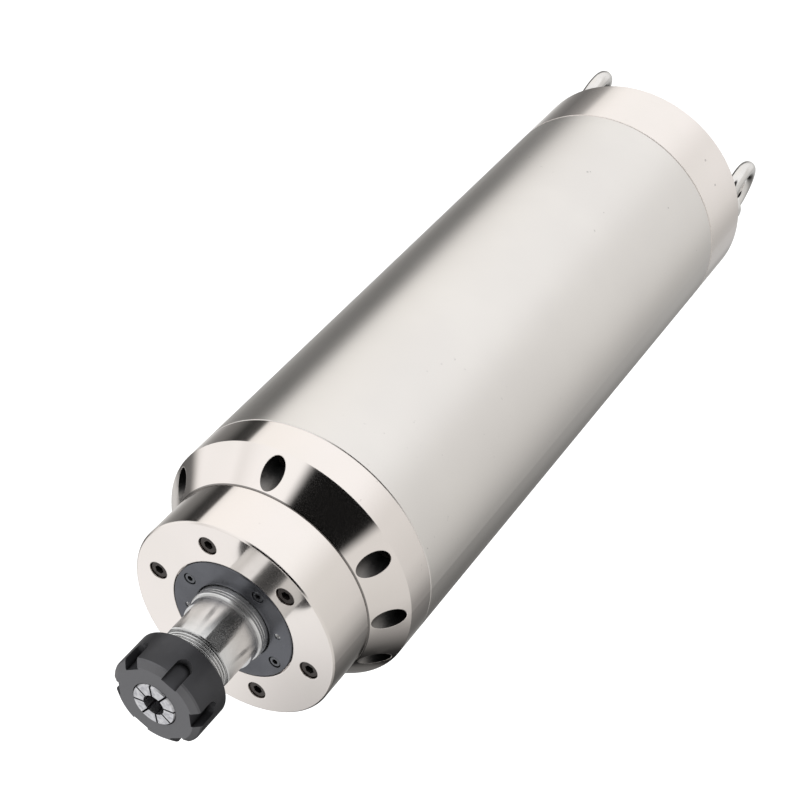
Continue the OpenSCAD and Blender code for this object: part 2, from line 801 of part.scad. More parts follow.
module rear_cap() {
    wall_station = end_station - cap_wall;
    color([0.86, 0.84, 0.8]) along_shaft() difference() {
        turned([
            [0, wall_station], [cap_space_d / 2, wall_station], [cap_space_d / 2, rear_housing_end],
            [tube_bore_r - slip, rear_housing_end], [tube_bore_r - slip, cap_station],
            [body_r - seam_chamfer, cap_station], [body_r, cap_station + seam_chamfer],
            [body_r, end_station - flange_chamfer], [body_r - flange_chamfer, end_station],
            [0, end_station]
        ]);
        around(90, connector_rise) {
            rod(connector_tail_d + 2 * screw_gap, wall_station - cut, end_station + cut);
            four_corners(connector_screw_pitch)
                rod(m3[0] + 2 * press_gap, end_station - connector_screw_len, end_station + cut);
        }
        for (a = [inlet_angle, outlet_angle])
            around(a, port_r) {
                rod(port_d, rear_housing_end - cut, end_station);
                rod(nozzle_thread_d + 2 * press_gap, end_station - nozzle_thread_len, end_station + cut);
            }
        for (a = eye_angles)
            around(a, eye_circle_d / 2)
                rod(eye_thread_d + 2 * press_gap, end_station - eye_hole_len, end_station + cut);
        for (i = [0:cap_screw_count - 1])
            around(cap_screw_angle + 360 * i / cap_screw_count, wall_circle_r) {
                rod(cap_counterbore_d, end_station - cap_counterbore, end_station + cut);
                rod(m6[0] + 2 * screw_gap, cap_station - cut, end_station);
            }
    }
}

module rear_cap_screws() {
    length = cap_len - cap_counterbore + cap_thread_len - 2;
    color([0.25, 0.25, 0.26]) along_shaft()
        for (i = [0:cap_screw_count - 1])
            around(cap_screw_angle + 360 * i / cap_screw_count, wall_circle_r)
                translate([0, 0, end_station - cap_counterbore + m6[2]]) mirror([0, 0, 1])
                    cap_screw(m6, length);
}

module eye_bolts() {
    ring_station = end_station + eye_rise + eye_outer_d / 2;
    collar_r = eye_collar_d / 2;
    collar_end = end_station + eye_collar_thick;
    edge = 0.5;
    color([0.78, 0.77, 0.75]) along_shaft()
        for (i = [0:1])
            around(eye_angles[i], eye_circle_d / 2) {
                translate([0, 0, ring_station])
                    rotate([0, 0, eye_angles[i] - eye_turns[i]]) rotate([90, 0, 0])
                        rotate_extrude($fn = 72) translate([eye_ring_r, 0]) circle(d = eye_bar_d, $fn = 36);
                turned([
                    [0, end_station], [collar_r - edge, end_station], [collar_r, end_station + edge],
                    [collar_r, collar_end - 4 * edge], [collar_r - 8 * edge, collar_end], [0, collar_end]
                ]);
                rod(eye_thread_d, end_station - eye_thread_len, end_station + cut);
            }
}

module coolant_nozzles() {
    hex_end = end_station + seal_thick + nozzle_hex_len;
    color([0.75, 0.62, 0.32]) along_shaft()
        for (a = [inlet_angle, outlet_angle])
            around(a, port_r) difference() {
                union() {
                    rod(nozzle_thread_d, end_station - nozzle_thread_len, end_station + seal_thick + cut);
                    translate([0, 0, end_station + seal_thick])
                        cylinder(d = nozzle_hex / cos(30), h = nozzle_hex_len, $fn = 6);
                    turned([
                        [0, hex_end - cut], [spout_d / 2, hex_end - cut],
                        [spout_d / 2, hex_end + spout_len - 1], [spout_d / 2 - 1, hex_end + spout_len],
                        [0, hex_end + spout_len]
                    ]);
                }
                rod(nozzle_bore_d, end_station - nozzle_thread_len - cut, hex_end + spout_len + cut);
            }
}

module nozzle_seals() {
    color([0.1, 0.1, 0.1]) along_shaft()
        for (a = [inlet_angle, outlet_angle])
            around(a, port_r)
                ring(seal_d, nozzle_thread_d + 2 * press_gap, end_station, end_station + seal_thick);
}

module connector_shell() {
    corner = 2.5;
    flange_end = end_station + connector_flange_thick;
    barrel_end = flange_end + connector_barrel_len;
    half = connector_flange_w / 2;
    wall_cut = connector_wall + cut;
    color([0.7, 0.71, 0.72]) along_shaft() around(90, connector_rise) difference() {
        union() {
            translate([-half + corner, -half, end_station])
                cube([connector_flange_w - 2 * corner, connector_flange_w, connector_flange_thick]);
            translate([-half, -half + corner, end_station])
                cube([connector_flange_w, connector_flange_w - 2 * corner, connector_flange_thick]);
            four_corners(2 * (half - corner)) rod(2 * corner, end_station, flange_end);
            rod(connector_barrel_d, flange_end - cut, barrel_end);
            rod(connector_tail_d, end_station - cap_wall, end_station + cut);
        }
        rod(connector_inner_d, end_station + connector_wall, barrel_end + cut);
        rod(connector_tail_d - 2 * connector_wall, end_station - cap_wall - cut, end_station + wall_cut);
        four_corners(connector_screw_pitch) rod(m3[0] + screw_gap, end_station - cut, flange_end + cut);
    }
}

module connector_insert() {
    barrel_end = end_station + connector_flange_thick + connector_barrel_len;
    key_w = 3;
    key_depth = 2;
    key_len = 9;
    color([0.13, 0.13, 0.14]) along_shaft() around(90, connector_rise) difference() {
        union() {
            rod(connector_inner_d - 2 * slip, end_station + connector_wall, barrel_end - insert_recess);
            rod(connector_tail_d - 2 * connector_wall - 2 * slip, end_station - cap_wall, end_station + 3);
        }
        translate([connector_inner_d / 2 - key_depth, -key_w / 2, barrel_end - insert_recess - key_len])
            cube([key_depth + cut, key_w, key_len + cut]);
        for (i = [0:pin_count - 1])
            around(45 + 360 * i / pin_count, pin_circle_r)
                rod(pin_d + 2 * press_gap, end_station - cap_wall - cut, barrel_end);
    }
}

module connector_pins() {
    barrel_end = end_station + connector_flange_thick + connector_barrel_len;
    color([0.85, 0.7, 0.35]) along_shaft() around(90, connector_rise)
        for (i = [0:pin_count - 1])
            around(45 + 360 * i / pin_count, pin_circle_r) turned([
                [0, end_station - cap_wall - pin_tail], [pin_d / 2, end_station - cap_wall - pin_tail],
                [pin_d / 2, barrel_end - 1.8], [pin_d / 2 - 0.8, barrel_end - 1], [0, barrel_end - 1]
            ]);
}

module connector_screws() {
    color([0.5, 0.5, 0.52]) along_shaft() around(90, connector_rise) four_corners(connector_screw_pitch)
        translate([0, 0, end_station + connector_flange_thick + m3[2]]) mirror([0, 0, 1])
            cap_screw(m3, connector_flange_thick + connector_screw_len - 1);
}

// Lead that crosses from one line along the shaft to another on a level run
module lead(start, finish, from, level, to) {
    way = finish - start;
    reach = norm(way);
    translate([start[0], start[1], 0]) rotate([0, 0, atan2(way[1], way[0])]) {
        rod(lead_d, from, level - lead_bend_r);
        translate([lead_bend_r, 0, level - lead_bend_r]) lead_bend(90);
        translate([lead_bend_r, 0, level]) rotate([0, 90, 0]) rod(lead_d, 0, reach - 2 * lead_bend_r);
        translate([reach - lead_bend_r, 0, level + lead_bend_r]) lead_bend(-90);
        translate([reach, 0, 0]) rod(lead_d, level + lead_bend_r, to);
    }
}

// Quarter turn of a lead, from an angle in the plane of the bend
module lead_bend(angle) {
    rotate([90, 0, 0]) rotate([0, 0, angle]) rotate_extrude(angle = 90, $fn = 64)
        translate([lead_bend_r, 0]) circle(d = lead_d, $fn = 64);
}

module power_leads() {
    tail_station = end_station - cap_wall - pin_tail;
    color([0.75, 0.2, 0.15]) along_shaft()
        for (i = [0:pin_count - 1]) {
            a = 45 + 360 * i / pin_count;
            way = [cos(a), -sin(a)];
            lead([0, -lead_hole_r] + lead_spread * way, [0, -connector_rise] + pin_circle_r * way,
                core_end + winding_head,
                tail_station - lead_bend_r - lead_tail - (sin(a) > 0 ? 0 : lead_step), tail_station);
        }
}

module shaft() {
    mouth_r = collet_r(shaft_front_station) + taper_gap;
    bore_r = shaft_bore_d / 2;
    taper_end = shaft_front_station + (mouth_r - bore_r) / tan(collet_taper);
    nose_r = nose_d / 2;
    seat_r = front_bore_d / 2;
    thread_start = shaft_front_station;
    color([0.78, 0.79, 0.8]) along_shaft() difference() {
        turned([
            [mouth_r, thread_start], [thread_root_r - 1, thread_start], [thread_root_r, thread_start + 1],
            [thread_root_r, thread_end_station], [nose_r - 0.4, thread_end_station],
            [nose_r, thread_end_station + 0.4], [nose_r, -collar_reach],
            [collar_d / 2 - 0.4, -collar_reach], [collar_d / 2, 0.4 - collar_reach],
            [collar_d / 2, slinger_station + slinger_len], [shoulder_d / 2, slinger_station + slinger_len],
            [shoulder_d / 2, front_1_station], [seat_r, front_1_station],
            [seat_r, front_nut_end + 2], [rotor_seat_d / 2, front_nut_end + 3],
            [rotor_seat_d / 2, core_end + end_ring_len], [rear_bore_d / 2 + 3, rear_1_station - 1],
            [rear_bore_d / 2 + 3, rear_1_station], [rear_bore_d / 2, rear_1_station],
            [rear_bore_d / 2, shaft_end_station - 1], [rear_bore_d / 2 - 1, shaft_end_station],
            [0, shaft_end_station], [0, shaft_bore_end + drill_tip_len], [bore_r, shaft_bore_end],
            [bore_r, taper_end]
        ]);
        for (side = [0, 180])
            around(flats_angle + side, flats_width / 2)
                translate([0, -nose_d / 2, thread_end_station - cut])
                    cube([nose_d, nose_d, flats_len + cut]);
        for (i = [1:2]) {
            from = i * collar_groove_pitch - collar_reach;
            ring(collar_d + cut, collar_d - 2 * collar_groove_depth, from, from + collar_groove_w);
        }
    }
}

// Radius of the collet's long taper at a station
function collet_r(station) = collet_d / 2 - (station - collet_land_station) * tan(collet_taper);

module slinger_ring() {
    groove_d = slinger_d - 2.4;
    land = (slinger_len - 2 * slinger_groove_w) / 3;
    color([0.55, 0.56, 0.58]) along_shaft() difference() {
        ring(slinger_d, collar_d + 2 * press_gap, slinger_station, slinger_station + slinger_len);
        for (s = [slinger_station + land, slinger_station + 2 * land + slinger_groove_w])
            ring(slinger_d + cut, groove_d, s, s + slinger_groove_w);
    }
}

module front_inner_rings() {
    color([0.8, 0.81, 0.83]) along_shaft() {
        inner_ring(front_bore_d, front_outer_d, front_width, front_ball_d, front_1_station);
        inner_ring(front_bore_d, front_outer_d, front_width, front_ball_d, front_2_station);
    }
}

module front_inner_spacer() {
    inner_d = front_bore_d + 2 * press_gap;
    color([0.6, 0.61, 0.63]) along_shaft()
        ring(front_bore_d + 8, inner_d, front_1_station + front_width, front_2_station);
}

module front_lock_nut() {
    color([0.35, 0.36, 0.38]) along_shaft()
        lock_nut(front_nut_d, front_bore_d + 2 * press_gap, front_stop_station, front_nut_end);
}

module rotor_core() {
    color([0.45, 0.46, 0.48]) along_shaft() translate([0, 0, core_station]) linear_extrude(core_len)
        difference() {
            circle(d = rotor_d, $fn = 96);
            circle(d = rotor_seat_d + 2 * press_gap, $fn = 96);
            for (i = [0:rotor_bars - 1])
                rotate(360 * i / rotor_bars) translate([bar_circle_r, 0]) circle(d = bar_d, $fn = 32);
        }
}

module rotor_cage() {
    out_d = rotor_d - 1;
    color([0.8, 0.8, 0.82]) along_shaft() {
        ring(out_d, 2 * end_ring_in_r, core_station - end_ring_len, core_station);
        ring(out_d, 2 * end_ring_in_r, core_end, core_end + end_ring_len);
        for (i = [0:rotor_bars - 1])
            rotate([0, 0, 360 * i / rotor_bars]) translate([bar_circle_r, 0, 0])
                rod(bar_d - 2 * press_gap, core_station - cut, core_end + cut);
    }
}

module rear_inner_rings() {
    color([0.8, 0.81, 0.83]) along_shaft() {
        inner_ring(rear_bore_d, rear_outer_d, rear_width, rear_ball_d, rear_1_station);
        inner_ring(rear_bore_d, rear_outer_d, rear_width, rear_ball_d, rear_2_station);
    }
}

module rear_inner_spacer() {
    inner_d = rear_bore_d + 2 * press_gap;
    color([0.6, 0.61, 0.63]) along_shaft()
        ring(rear_bore_d + 6, inner_d, rear_1_station + rear_width, rear_2_station);
}

module rear_lock_nut() {
    color([0.35, 0.36, 0.38]) along_shaft()
        lock_nut(rear_nut_d, rear_bore_d + 2 * press_gap, rear_stop_station, rear_nut_end);
}

module front_balls_1() {
    color([0.85, 0.86, 0.88]) along_shaft()
        balls(front_bore_d, front_outer_d, front_width, front_ball_d, front_balls, front_1_station);
}

module front_cage_1() {
    color([0.6, 0.45, 0.25]) along_shaft()
        cage(front_bore_d, front_outer_d, front_width, front_ball_d, front_balls, front_1_station);
}

module front_balls_2() {
    color([0.85, 0.86, 0.88]) along_shaft()
        balls(front_bore_d, front_outer_d, front_width, front_ball_d, front_balls, front_2_station);
}

module front_cage_2() {
    color([0.6, 0.45, 0.25]) along_shaft()
        cage(front_bore_d, front_outer_d, front_width, front_ball_d, front_balls, front_2_station);
}

module rear_balls_1() {
    color([0.85, 0.86, 0.88]) along_shaft()
        balls(rear_bore_d, rear_outer_d, rear_width, rear_ball_d, rear_balls, rear_1_station);
}

module rear_cage_1() {
    color([0.6, 0.45, 0.25]) along_shaft()
        cage(rear_bore_d, rear_outer_d, rear_width, rear_ball_d, rear_balls, rear_1_station);
}

module rear_balls_2() {
    color([0.85, 0.86, 0.88]) along_shaft()
        balls(rear_bore_d, rear_outer_d, rear_width, rear_ball_d, rear_balls, rear_2_station);
}

module rear_cage_2() {
    color([0.6, 0.45, 0.25]) along_shaft()
        cage(rear_bore_d, rear_outer_d, rear_width, rear_ball_d, rear_balls, rear_2_station);
}

// One slit of the collet, between two stations
module collet_slit(angle, from, to) {
    around(angle, 0) translate([collet_bore_d / 4, -collet_slit_w / 2, from])
        cube([collet_d, collet_slit_w, to - from]);
}

module collet() {
    groove_start = collet_station + collet_front_len + 0.4;
    front_r = collet_face_d / 2 + collet_front_len * tan(collet_front_slope);
    end = collet_station + collet_len;
    color([0.72, 0.72, 0.73]) along_shaft() difference() {
        turned([
            [collet_bore_d / 2, collet_station], [collet_face_d / 2, collet_station],
            [front_r, collet_station + collet_front_len], [front_r, groove_start],
            [collet_groove_d / 2, groove_start], [collet_groove_d / 2, collet_land_station],
            [collet_d / 2, collet_land_station], [collet_r(end), end], [collet_bore_d / 2, end]
        ]);
        for (i = [0:collet_slits - 1]) {
            a = collet_slit_angle + 360 * i / collet_slits;
            collet_slit(a, collet_station - cut, end - collet_web);
            collet_slit(a + 180 / collet_slits, collet_station + collet_nose_web, end + cut);
        }
    }
}

module collet_nut() {
    r = nut_d / 2;
    bevel_len = 1.9;
    bevel_depth = 3;
    rear_round = 1.2;
    mouth_gap = 0.3;
    cone_r = collet_face_d / 2 + collet_proud * tan(collet_front_slope) + nut_gap;
    lip_start = collet_station + collet_front_len + 0.4 + nut_gap;
    lip_end = collet_land_station - nut_gap;
    cone_end_r = collet_face_d / 2 + collet_front_len * tan(collet_front_slope) + nut_gap;
    cavity_r = collet_d / 2 + 0.4;
    thread_r = nut_thread_d / 2 + nut_gap;
    slot_round = nut_slot_w / 2;
    color([0.2, 0.2, 0.21]) along_shaft() difference() {
        turned([
            [cone_r + mouth_gap, nut_face_station], [r - bevel_depth, nut_face_station],
            [r - 0.5, nut_face_station + bevel_len], [r, nut_face_station + bevel_len + 0.8],
            [r, nut_rear_station - rear_round], [r - rear_round, nut_rear_station],
            [thread_r, nut_rear_station], [thread_r, shaft_front_station - 0.6],
            [cavity_r, shaft_front_station - 0.6], [cavity_r, lip_end],
            [collet_groove_d / 2 + 0.3, lip_end], [collet_groove_d / 2 + 0.3, lip_start],
            [cone_end_r, lip_start], [cone_end_r, collet_station + collet_front_len]
        ]);
        for (i = [0:5])
            around(62 + 60 * i, r - nut_slot_depth) {
                translate([0, 0, nut_face_station + nut_slot_len - slot_round]) rotate([0, 90, 0])
                    cylinder(d = nut_slot_w, h = nut_slot_depth + cut, $fn = 48);
                translate([0, -slot_round, nut_face_station - cut])
                    cube([nut_slot_depth + cut, nut_slot_w, nut_slot_len - slot_round + cut]);
            }
    }
}

nose_flange();
flange_screws();
labyrinth_cover();
cover_screws();
cover_set_screws();
front_housing();
housing_screws();
jack_screws();
body_tube();
water_jacket();
jacket_o_rings();
stator_core();
stator_windings();
front_outer_rings();
front_outer_spacer();
rear_housing();
rear_outer_rings();
rear_outer_spacer();
preload_springs();
rear_bearing_cover();
bearing_cover_screws();
rear_cap();
rear_cap_screws();
eye_bolts();
coolant_nozzles();
nozzle_seals();
connector_shell();
connector_insert();
connector_pins();
connector_screws();
power_leads();
shaft();
slinger_ring();
front_inner_rings();
front_inner_spacer();
front_lock_nut();
rotor_core();
rotor_cage();
rear_inner_rings();
rear_inner_spacer();
rear_lock_nut();
front_balls_1();
front_cage_1();
front_balls_2();
front_cage_2();
rear_balls_1();
rear_cage_1();
rear_balls_2();
rear_cage_2();
collet();
collet_nut();
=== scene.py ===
import math

import bpy
from mathutils import Matrix, Vector


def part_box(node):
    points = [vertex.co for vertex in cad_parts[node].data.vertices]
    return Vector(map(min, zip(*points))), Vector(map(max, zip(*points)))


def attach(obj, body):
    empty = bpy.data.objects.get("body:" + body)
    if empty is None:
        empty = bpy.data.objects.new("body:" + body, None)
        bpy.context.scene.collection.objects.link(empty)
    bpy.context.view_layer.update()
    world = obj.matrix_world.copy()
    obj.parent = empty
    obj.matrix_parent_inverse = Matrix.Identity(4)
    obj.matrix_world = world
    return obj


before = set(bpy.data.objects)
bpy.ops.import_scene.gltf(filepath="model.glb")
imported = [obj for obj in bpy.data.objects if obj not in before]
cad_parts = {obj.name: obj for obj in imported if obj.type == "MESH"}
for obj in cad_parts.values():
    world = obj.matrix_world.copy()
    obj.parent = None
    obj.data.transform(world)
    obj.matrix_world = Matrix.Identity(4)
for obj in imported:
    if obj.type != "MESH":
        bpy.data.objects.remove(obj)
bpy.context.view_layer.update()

# Lengths are in metres and angles in degrees. The shaft lies on the Y axis, with the nose towards -Y.
MM = 0.001
BODY_R = 62.5 * MM
FLANGE_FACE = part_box("nose_flange")[0].y
CONE_FRONT = FLANGE_FACE + 27.2 * MM
COLLAR_FRONT = FLANGE_FACE - 7 * MM
CAP_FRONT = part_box("body_tube")[1].y
NUT_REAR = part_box("collet_nut")[1].y

# The thread's ridge on the shaft. Its half widths at crest and root are shares of half a pitch
THREAD_START = NUT_REAR - 13.2 * MM
THREAD_END = FLANGE_FACE - 26.4 * MM
THREAD_PITCH = 1.5 * MM
THREAD_CREST_R = 16 * MM
THREAD_ROOT_R = 15 * MM
THREAD_CREST_SHARE = 0.14
THREAD_ROOT_SHARE = 0.96
THREAD_SUNK = 0.1 * MM
THREAD_SIDES = 96
THREAD_FADE_SIDES = 12

# The photo's camera, fitted to the object's outlines in it. Lens and sensor are in millimetres
CAMERA_AT = (0.35644, -0.66211, 0.58509)
CAMERA_LOOKS = (-0.39995, 0.66620, -0.62946)
CAMERA_LENS = 87.25
CAMERA_SENSOR = 36.0
CAMERA_CLIP = (0.01, 100)

FLOOR_HEIGHT = -0.60
FLOOR_HALF = 8.0
FLOOR_TONE = 0.93
FLOOR_GLOW = 0.45

# The lamps: azimuth, elevation, distance, size and power
KEY_LAMP = (-40, 55, 1.6, 1.0, 14)
FILL_LAMP = (80, 30, 1.8, 1.2, 6)

# The card that the shaft's nose mirrors: first and last angle round the shaft, inner and outer radius
FLAG = (28, 76, 51 * MM, 100 * MM)
FLAG_STATION = FLANGE_FACE + 0.3 * MM
FLAG_STEP = 2
FLAG_TONE = 0.02

# How marks change a metal, and the painted shade in holes and on the walls of holes: their tone, the share
# they cover, and how much rougher they are
SPOT_TONE, SPOT_SHARE = 0.30, 0.35
DOT_TONE = 0.45
SEAM_TONE = 0.12
HOLLOW_PAINTED_SHADE_TONE, HOLLOW_ROUGHER = 0.16, 0.35
WALL_PAINTED_SHADE_TONE, WALL_PAINTED_SHADE_SHARE, WALL_ROUGHER = 0.30, 0.75, 0.35
WALL_UPRIGHT = 0.2
DARK_HOLLOW_PAINTED_SHADE_TONE = 0.04
LEAST_ROUGHNESS = 0.03


def linear(*srgb):
    """A colour as the screen shows it, turned into the shader's own scale."""
    return tuple(c / 12.92 if c <= 0.04045 else ((c + 0.055) / 1.055) ** 2.4 for c in srgb)


def grey(value):
    return linear(value, value, value)


def direction(azimuth, elevation):
    """Unit vector. Azimuth 0 points to the front, -Y, and grows towards +X."""
    a, e = math.radians(azimuth), math.radians(elevation)
    return Vector((math.sin(a) * math.cos(e), -math.cos(a) * math.cos(e), math.sin(e)))


class Shader:
    """Short calls for building a node tree. A call takes numbers, colours or sockets."""

    def __init__(self, tree):
        self.tree = tree
        tree.nodes.clear()

    def node(self, kind, inputs=None, **settings):
        made = self.tree.nodes.new(kind)
        for name, value in settings.items():
            setattr(made, name, value)
        for name, value in (inputs or {}).items():
            self.put(made.inputs[name], value)
        return made

    def put(self, socket, value):
        if isinstance(value, bpy.types.NodeSocket):
            self.tree.links.new(value, socket)
        elif socket.type == "RGBA" and len(value) == 3:
            socket.default_value = (*value, 1)
        else:
            socket.default_value = value

    def math(self, operation, *values):
        made = self.node("ShaderNodeMath", operation=operation)
        for socket, value in zip(made.inputs, values):
            self.put(socket, value)
        return made.outputs[0]

    def vector_math(self, operation, a, b):
        """A number for a dot product or a distance, and otherwise a vector."""
        made = self.node("ShaderNodeVectorMath", operation=operation)
        self.put(made.inputs[0], a)
        self.put(made.inputs[1], b)
        return made.outputs["Value" if operation in ("DOT_PRODUCT", "DISTANCE") else "Vector"]

    def ramp(self, value, low, high, to_low=0.0, to_high=1.0, smooth=True):
        """Value between low and high, moved to to_low and to_high."""
        made = self.node("ShaderNodeMapRange", {"Value": value, "From Min": low, "From Max": high,
                                                "To Min": to_low, "To Max": to_high})
        made.interpolation_type = "SMOOTHSTEP" if smooth else "LINEAR"
        return made.outputs["Result"]

    def vary(self, texture, amount, middle):
        """Middle, moved up and down by a texture that runs from 0 to 1."""
        return self.math("MULTIPLY_ADD", self.math("SUBTRACT", texture, 0.5), amount, middle)

    def mix(self, factor, a, b):
        made = self.node("ShaderNodeMix", data_type="RGBA")
        self.put(made.inputs["Factor"], factor)
        for name, value in (("A", a), ("B", b)):
            socket = next(s for s in made.inputs if s.name == name and s.type == "RGBA")
            self.put(socket, value)
        return next(s for s in made.outputs if s.type == "RGBA")

    def cover(self, mask, share, under, over):
        """Colour under, with a share of colour over it where the mask is 1."""
        return self.mix(self.math("MULTIPLY", mask, share), under, over)

    def noise(self, vector, scale, detail=3.0, roughness=0.5):
        return self.node("ShaderNodeTexNoise", {"Vector": vector, "Scale": scale, "Detail": detail,
                                                "Roughness": roughness}).outputs["Fac"]

    def vector(self, x, y, z):
        return self.node("ShaderNodeCombineXYZ", {"X": x, "Y": y, "Z": z}).outputs[0]

    def split(self, vector):
        return self.node("ShaderNodeSeparateXYZ", {"Vector": vector}).outputs

    def coordinates(self, kind):
        return self.node("ShaderNodeTexCoord").outputs[kind]

    def normal(self, height, strength, distance, soft_edge=0.0):
        """Surface normal with fine relief, and with edges rounded to the eye by soft_edge."""
        bump = self.node("ShaderNodeBump", {"Strength": strength, "Distance": distance, "Height": height})
        if soft_edge:
            rounded = self.node("ShaderNodeBevel", {"Radius": soft_edge}, samples=4)
            self.put(bump.inputs["Normal"], rounded.outputs[0])
        return bump.outputs[0]


def material(name, build):
    made = bpy.data.materials.new(name)
    made.use_nodes = True
    shader = Shader(made.node_tree)
    surface = build(shader)
    output = shader.node("ShaderNodeOutputMaterial")
    shader.put(output.inputs["Surface"], surface)
    return made


def place(shader):
    """Object coordinates, which are the shared frame in metres, and the distance from the shaft's axis."""
    at = shader.coordinates("Object")
    x, y, z = shader.split(at)
    radius = shader.math("SQRT", shader.math("ADD", shader.math("MULTIPLY", x, x),
                                             shader.math("MULTIPLY", z, z)))
    return at, x, y, z, radius


def turned_grain(shader, spot, across, along):
    """Fine lines that run round the axis, as a lathe or a grinding wheel leaves them."""
    _, x, y, z, radius = spot
    depth = shader.math("MULTIPLY", shader.math("ADD", y, radius), across)
    lines = shader.vector(shader.math("MULTIPLY", x, along), depth, shader.math("MULTIPLY", z, along))
    return shader.noise(lines, 1.0, 4.0, 0.6)


def across_grain(shader):
    """Direction on the surface that runs across the lines of turning: along the shaft, or out from it."""
    looks = shader.node("ShaderNodeTexCoord").outputs
    around = shader.vector_math("CROSS_PRODUCT", (0, 1, 0), looks["Object"])
    across = shader.vector_math("CROSS_PRODUCT", looks["Normal"], around)
    turned = shader.node("ShaderNodeVectorTransform", {"Vector": across}, vector_type="VECTOR",
                         convert_from="OBJECT", convert_to="WORLD")
    return turned.outputs[0]


def edge_mask(shader, reach):
    """1 on outer edges, 0 on open faces."""
    worn = shader.node("ShaderNodeBevel", {"Radius": reach}, samples=6).outputs[0]
    flat = shader.node("ShaderNodeNewGeometry").outputs["Normal"]
    return shader.ramp(shader.vector_math("DOT_PRODUCT", worn, flat), 0.985, 0.86)


def hollow_painted_shade_mask(shader, reach):
    """1 deep in slots and holes, 0 on open faces: where shade is painted into the colour."""
    closed = shader.node("ShaderNodeAmbientOcclusion", {"Distance": reach}, samples=8, only_local=True)
    return shader.ramp(closed.outputs["AO"], 0.86, 0.38)


def spot_mask(shader, at, spots):
    """1 in each small mark, given as its place and radius in metres."""
    found = None
    for x, y, z, radius in spots:
        away = shader.vector_math("DISTANCE", at, (x, y, z))
        ragged = shader.math("MULTIPLY_ADD", shader.noise(at, 900.0, 2.0), 0.8 * radius, away)
        mark = shader.ramp(ragged, 0.7 * radius, 1.3 * radius, 1.0, 0.0)
        found = mark if found is None else shader.math("MAXIMUM", found, mark)
    return found


def dot_mask(shader, at, amount):
    """Small handling dots, gathered in patches."""
    dots = shader.ramp(shader.noise(at, 420.0, 2.0, 0.5), 0.70, 0.80)
    patches = shader.ramp(shader.noise(at, 19.0, 1.0, 0.5), 0.56, 0.66)
    return shader.math("MULTIPLY", dots, shader.math("MULTIPLY", patches, amount))


def wall_mask(shader, station, radius, start, end, reach):
    """1 on walls that run along the shaft, between two stations and inside a radius."""
    facing = shader.math("ABSOLUTE", shader.split(shader.coordinates("Normal"))["Y"])
    wall = shader.math("LESS_THAN", facing, WALL_UPRIGHT)
    for test in (shader.math("GREATER_THAN", station, start), shader.math("LESS_THAN", station, end),
                 shader.math("LESS_THAN", radius, reach)):
        wall = shader.math("MULTIPLY", wall, test)
    return wall


def metal(name, light, dark, roughness, grain=(2600.0, 30.0), grain_bump=0.05, spread=0.08,
          clouds=28.0, cloud_roughness=0.05, marks=0.0, brushed=0.0, spots=(), hollow_shade_reach=0.0,
          soft_edge=0.0, seams=(), coarse=None, shaded_drilled_walls=None):
    """Bare or plated metal: grain of turning, cloudy tone, small handling marks, and, where set, painted shade
    in hollows.

    Each seam is a dark or dull line: its station, half width, depth of tone and added roughness.
    Coarse is the station from which on the surface is rougher, and how rough it is there.
    The walls of holes between two stations and inside a radius are rougher, and painted shade darkens them."""
    def build(shader):
        spot = place(shader)
        at, _, station, _, radius = spot
        lines = turned_grain(shader, spot, *grain)
        cloud = shader.noise(at, clouds, 3.0, 0.55)
        color = shader.mix(shader.ramp(cloud, 0.3, 0.7), light, dark)
        rough = shader.vary(cloud, cloud_roughness * 2, shader.vary(lines, spread, roughness))
        if marks:
            color = shader.mix(dot_mask(shader, at, marks), color, grey(DOT_TONE))
        if spots:
            color = shader.cover(spot_mask(shader, at, spots), SPOT_SHARE, color, grey(SPOT_TONE))
        for middle, half_width, depth, rougher in seams:
            off = shader.math("ABSOLUTE", shader.math("SUBTRACT", station, middle))
            near = shader.ramp(off, 0.6 * half_width, half_width, 1.0, 0.0)
            color = shader.cover(near, depth, color, grey(SEAM_TONE))
            rough = shader.math("MULTIPLY_ADD", near, rougher, rough)
        # Painted shade: deep in slots and holes the colour goes dark, and the surface is rougher.
        if hollow_shade_reach:
            deep = hollow_painted_shade_mask(shader, hollow_shade_reach)
            color = shader.mix(deep, color, grey(HOLLOW_PAINTED_SHADE_TONE))
            rough = shader.math("MULTIPLY_ADD", deep, HOLLOW_ROUGHER, rough)
        # Painted shade: the walls of holes are darkened, and they are also rougher.
        if shaded_drilled_walls:
            wall = wall_mask(shader, station, radius, *shaded_drilled_walls)
            color = shader.cover(wall, WALL_PAINTED_SHADE_SHARE, color, grey(WALL_PAINTED_SHADE_TONE))
            rough = shader.math("MULTIPLY_ADD", wall, WALL_ROUGHER, rough)
        if coarse:
            edge, rougher = coarse
            added = shader.ramp(station, edge - 0.5 * MM, edge, 0.0, rougher - roughness)
            rough = shader.math("ADD", rough, added)
        surface = shader.node("ShaderNodeBsdfPrincipled", {
            "Base Color": color, "Metallic": 1.0, "Anisotropic": brushed,
            "Roughness": shader.math("MAXIMUM", rough, LEAST_ROUGHNESS),
            "Normal": shader.normal(lines, grain_bump, 0.02 * MM, soft_edge)})
        if brushed:
            shader.put(surface.inputs["Tangent"], across_grain(shader))
        return surface.outputs[0]
    return material(name, build)


